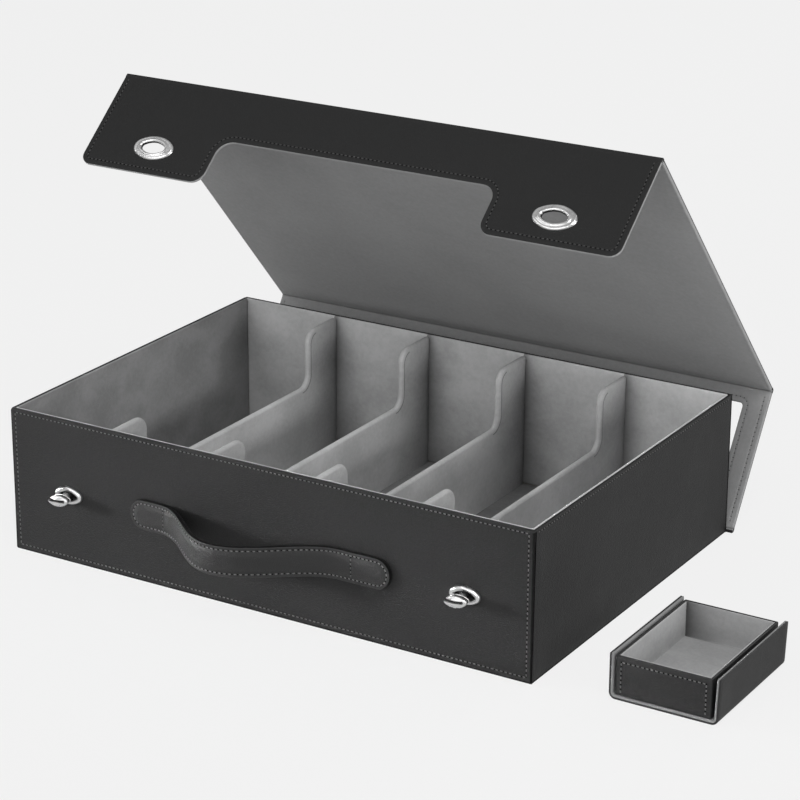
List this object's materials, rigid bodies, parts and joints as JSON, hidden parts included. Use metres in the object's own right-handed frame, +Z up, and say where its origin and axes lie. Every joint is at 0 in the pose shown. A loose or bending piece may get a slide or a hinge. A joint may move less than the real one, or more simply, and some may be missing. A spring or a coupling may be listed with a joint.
{
  "type": "trading card storage box",
  "caption": "Leather-covered storage case with card rows, a three-panel fold-over cover on turn-locks, a strap handle and a small card tray.",
  "frame": {"origin": "centre of the case's underside, on the surface it stands on", "axes": "+X along the case's width to the right, seen from the front; +Y from the front, with its handle and locks, to the back; +Z up"},
  "size_m": [0.5793, 0.4166, 0.3296],
  "materials": {
    "case_leather": "fine grained, matt",
    "cover_leather": "fine grained, matt",
    "velvet": "short even nap",
    "board": "raw greyboard",
    "strap_filler": "plain",
    "polished_metal": "mirror polished",
    "spring_steel": "plain"
  },
  "bodies": {
    "case": {"base_leather": "case_leather", "front_leather": "case_leather", "back_leather": "case_leather", "left_leather": "case_leather", "right_leather": "case_leather", "bottom_board": "board", "front_board": "board", "back_board": "board", "left_board": "board", "right_board": "board", "floor_lining": "velvet", "front_lining": "velvet", "back_lining": "velvet", "left_lining": "velvet", "right_lining": "velvet", "divider_cover_1": "velvet", "divider_cover_2": "velvet", "divider_cover_3": "velvet", "divider_cover_4": "velvet", "divider_boards": "board", "rear_crease": "cover_leather", "handle_outer": "case_leather", "handle_inner": "case_leather", "handle_core": "strap_filler", "left_lock_base": "polished_metal", "right_lock_base": "polished_metal", "left_lock_plate": "spring_steel", "right_lock_plate": "spring_steel", "left_lock_spring": "spring_steel", "right_lock_spring": "spring_steel"},
    "rear_panel": {"spine_leather": "cover_leather", "spine_board": "board", "spine_lining": "velvet", "top_crease": "cover_leather"},
    "top_panel": {"top_leather": "cover_leather", "top_board": "board", "top_lining": "velvet", "front_crease": "cover_leather"},
    "front_flap": {"flap_leather": "cover_leather", "flap_board": "board", "flap_lining": "velvet", "left_eyelet": "polished_metal", "right_eyelet": "polished_metal", "left_eyelet_plate": "spring_steel", "right_eyelet_plate": "spring_steel"},
    "left_knob": {"left_lock_knob": "polished_metal"},
    "right_knob": {"right_lock_knob": "polished_metal"},
    "sleeve": {"sleeve_leather": "case_leather", "sleeve_board": "board", "sleeve_lining": "velvet"},
    "tray": {"tray_leather": "case_leather", "tray_wall_board": "board", "tray_bottom_board": "board", "tray_lining": "velvet"}
  },
  "joints": [
    {"name": "rear_fold", "type": "hinge", "parent": "case", "child": "rear_panel", "pos_m": [0, 0.1561, 0.0016], "axis": [-1, 0, 0], "range_deg": [-33, 56.5]},
    {"name": "top_fold", "type": "hinge", "parent": "rear_panel", "child": "top_panel", "pos_m": [0, 0.21737, 0.09595], "axis": [-1, 0, 0], "range_deg": [-15, 75]},
    {"name": "flap_fold", "type": "hinge", "parent": "top_panel", "child": "front_flap", "pos_m": [0, 0.00847, 0.32796], "axis": [-1, 0, 0], "range_deg": [-1.5, 88.5]},
    {"name": "left_knob_turn", "type": "hinge", "parent": "case", "child": "left_knob", "pos_m": [-0.168, -0.154, 0.054], "axis": [0, -1, 0], "range_deg": [0, 90]},
    {"name": "right_knob_turn", "type": "hinge", "parent": "case", "child": "right_knob", "pos_m": [0.168, -0.154, 0.054], "axis": [0, -1, 0], "range_deg": [0, 90]},
    {"name": "sleeve_lift", "type": "slide", "parent": "case", "child": "sleeve", "axis": [0, 0, 1], "range_m": [0, 0.12]},
    {"name": "tray_slide", "type": "slide", "parent": "sleeve", "child": "tray", "axis": [0, -1, 0], "range_m": [0, 0.08]}
  ]
}
